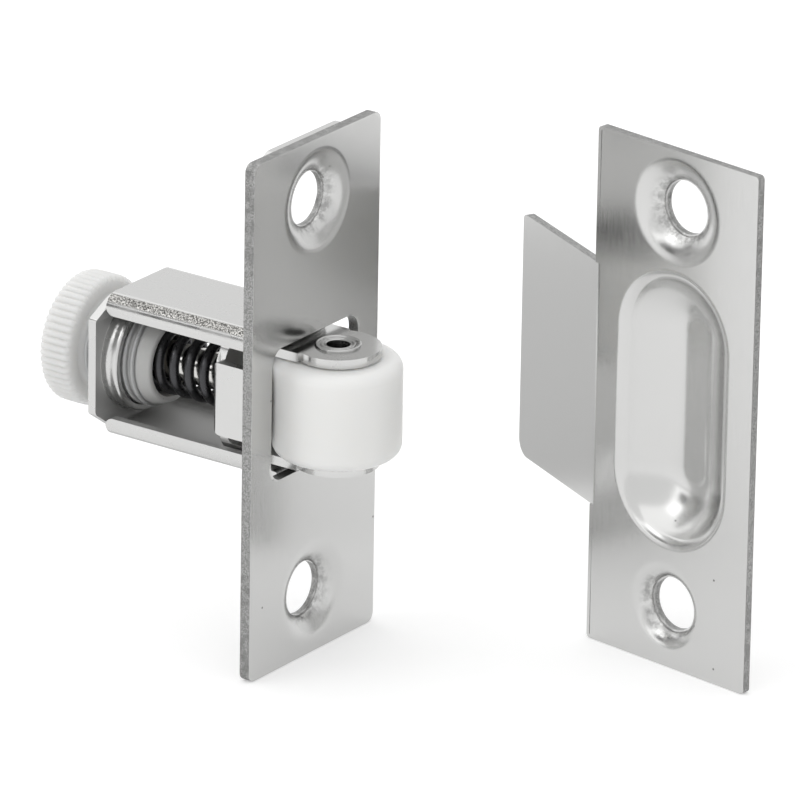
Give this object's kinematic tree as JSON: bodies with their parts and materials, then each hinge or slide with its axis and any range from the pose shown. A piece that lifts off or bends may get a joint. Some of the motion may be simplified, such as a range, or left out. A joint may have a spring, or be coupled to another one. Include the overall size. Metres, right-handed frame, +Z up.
{
  "type": "roller catch",
  "caption": "Adjustable roller catch: a spring-loaded roller in a folded strap housing behind a screw-on face plate, with a knurled adjusting knob and its troughed strike plate.",
  "frame": {"origin": "midway between the face plate's two screw holes, in their walls, 1.75 mm behind its front face", "axes": "+X out of the face plate, the way the roller projects; +Y across the face plate; +Z up along it"},
  "size_m": [0.0734, 0.0406, 0.0572],
  "materials": {
    "plated_plate": "bright plated, polished",
    "plated_strap": "bright plated, satin",
    "white_nylon": "moulded, satin",
    "black_spring_steel": "oiled black",
    "plated_yoke": "bright plated, satin",
    "bright_rod": "bright plated",
    "ivory_nylon": "moulded, smooth",
    "bright_rivet": "bright plated",
    "plated_strike": "bright plated, polished"
  },
  "bodies": {
    "housing": {"face_plate": "plated_plate", "housing_frame": "plated_strap", "strike_plate": "plated_strike"},
    "spring": {"compression_spring": "black_spring_steel"},
    "knob": {"adjusting_knob": "white_nylon"},
    "carriage": {"roller_yoke": "plated_yoke", "guide_rod": "bright_rod", "roller_pin": "bright_rivet"},
    "roller": {"roller": "ivory_nylon"}
  },
  "joints": [
    {"name": "adjust_travel", "type": "slide", "parent": "housing", "child": "spring", "axis": [1, 0, 0], "range_m": [-0.0024, 0.0024]},
    {"name": "knob_turn", "type": "hinge", "parent": "spring", "child": "knob", "pos_m": [-0.027, 0, 0], "axis": [1, 0, 0], "range_deg": [-864, 864]},
    {"name": "roller_press", "type": "slide", "parent": "spring", "child": "carriage", "axis": [-1, 0, 0], "range_m": [0, 0.0055], "stiffness_N_per_m": 1500, "springref_m": -0.003, "deforming": ["compression_spring"]},
    {"name": "roller_spin", "type": "hinge", "parent": "carriage", "child": "roller", "pos_m": [0.00465, 0, 0], "axis": [0, 0, 1], "continuous": true}
  ],
  "couplings": [
    {"joint": "knob_turn", "follows": "adjust_travel", "rad_per_m": 6283.2}
  ]
}
